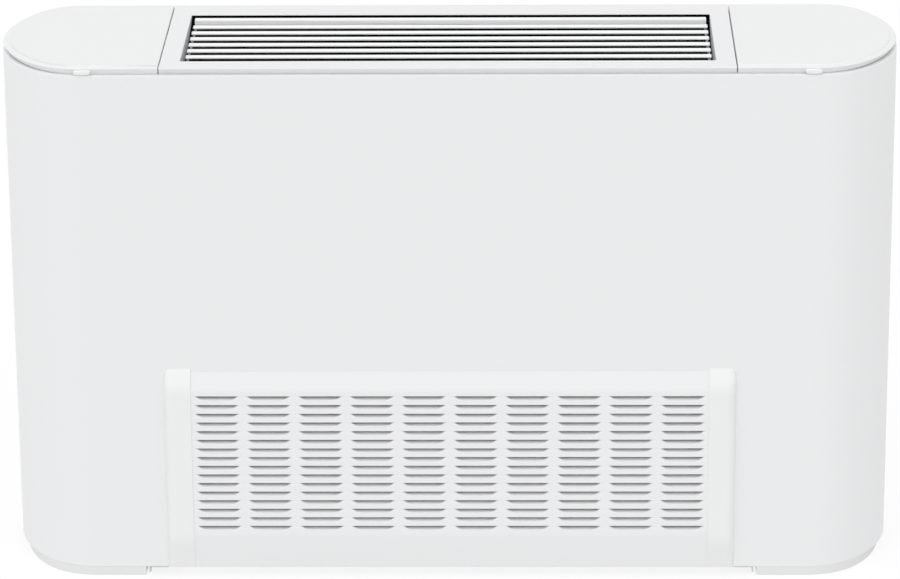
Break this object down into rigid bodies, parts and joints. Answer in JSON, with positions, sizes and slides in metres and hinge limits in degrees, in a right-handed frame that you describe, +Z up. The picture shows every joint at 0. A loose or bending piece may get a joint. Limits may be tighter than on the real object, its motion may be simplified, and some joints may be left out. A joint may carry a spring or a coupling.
{
  "type": "floor-ceiling fan coil unit",
  "caption": "Low white fan coil cabinet with rounded ends, hinged end lids, a slatted top outlet and a tilting louvred intake grille with a slide-out filter.",
  "frame": {"origin": "middle of the base, under the centre of the overall box", "axes": "+X to the right along the width, +Y from the front to the wall, +Z up"},
  "size_m": [0.79, 0.208, 0.476],
  "materials": {
    "casing_white": "satin white paint",
    "white_plastic": "fine-grained white moulding",
    "galvanised_sheet": "galvanised steel sheet",
    "steel": "bright zinc-plated steel",
    "black_plastic": "black moulding",
    "grey_plastic": "grey moulding",
    "filter_cloth": "woven filter mesh",
    "motor_paint": "black painted can",
    "black_rubber": "moulded rubber",
    "black_foam": "closed-cell foam",
    "bare_aluminium": "mill finish",
    "copper": "drawn copper tube",
    "brass": "machined brass"
  },
  "bodies": {
    "cabinet": {"front_panel": "casing_white", "top_frame": "casing_white", "bottom_cap_left": "white_plastic", "bottom_cap_right": "white_plastic", "frame_side_left": "galvanised_sheet", "frame_side_right": "galvanised_sheet", "rear_panel": "galvanised_sheet", "bottom_plate": "galvanised_sheet", "inner_front": "galvanised_sheet", "fan_deck": "galvanised_sheet", "scroll_left": "galvanised_sheet", "scroll_right": "galvanised_sheet", "motor": "motor_paint", "motor_cradle": "galvanised_sheet", "motor_bands": "galvanised_sheet", "motor_grommets": "black_rubber", "capacitor": "bare_aluminium", "lid_bracket_left": "galvanised_sheet", "lid_bracket_right": "galvanised_sheet", "lid_pin_left": "steel", "lid_pin_right": "steel", "grille_hinge_pins": "steel", "coil_fins": "bare_aluminium", "coil_tubes": "copper", "coil_plate_left": "galvanised_sheet", "coil_plate_right": "galvanised_sheet", "header_supply": "copper", "header_return": "copper", "union_supply": "brass", "union_return": "brass", "air_vent": "brass", "drain_pan": "black_plastic", "drain_spigot": "black_plastic", "terminal_box": "grey_plastic", "terminal_box_cover": "grey_plastic", "terminal_block": "grey_plastic", "cable_gland": "black_plastic", "outlet_collar": "black_foam", "frame_screws": "steel"},
    "fan_rotor": {"motor_shaft": "steel", "impeller_left": "black_plastic", "impeller_right": "black_plastic"},
    "left_lid": {"lid_left": "white_plastic"},
    "right_lid": {"lid_right": "white_plastic"},
    "outlet_grille": {"outlet_insert_frame": "white_plastic", "outlet_slats": "white_plastic"},
    "intake_door": {"intake_grille": "casing_white", "grille_end_cap_left": "white_plastic", "grille_end_cap_right": "white_plastic", "filter_guide_left": "black_plastic", "filter_guide_right": "black_plastic"},
    "filter": {"filter_frame": "black_plastic", "filter_mesh": "filter_cloth"}
  },
  "joints": [
    {"name": "fan_spin", "type": "hinge", "parent": "cabinet", "child": "fan_rotor", "pos_m": [0, -0.002, 0.112], "axis": [1, 0, 0], "continuous": true},
    {"name": "left_lid_hinge", "type": "hinge", "parent": "cabinet", "child": "left_lid", "pos_m": [-0.295, 0.095, 0.4695], "axis": [-1, 0, 0], "range_deg": [0, 95]},
    {"name": "right_lid_hinge", "type": "hinge", "parent": "cabinet", "child": "right_lid", "pos_m": [0.295, 0.095, 0.4695], "axis": [-1, 0, 0], "range_deg": [0, 95]},
    {"name": "outlet_grille_lift", "type": "slide", "parent": "cabinet", "child": "outlet_grille", "axis": [0, 0, 1], "range_m": [0, 0.045]},
    {"name": "intake_grille_tilt", "type": "hinge", "parent": "cabinet", "child": "intake_door", "pos_m": [0, -0.091, 0.014], "axis": [1, 0, 0], "range_deg": [0, 50]},
    {"name": "filter_slide", "type": "slide", "parent": "intake_door", "child": "filter", "axis": [0, 0, 1], "range_m": [0, 0.1]}
  ]
}
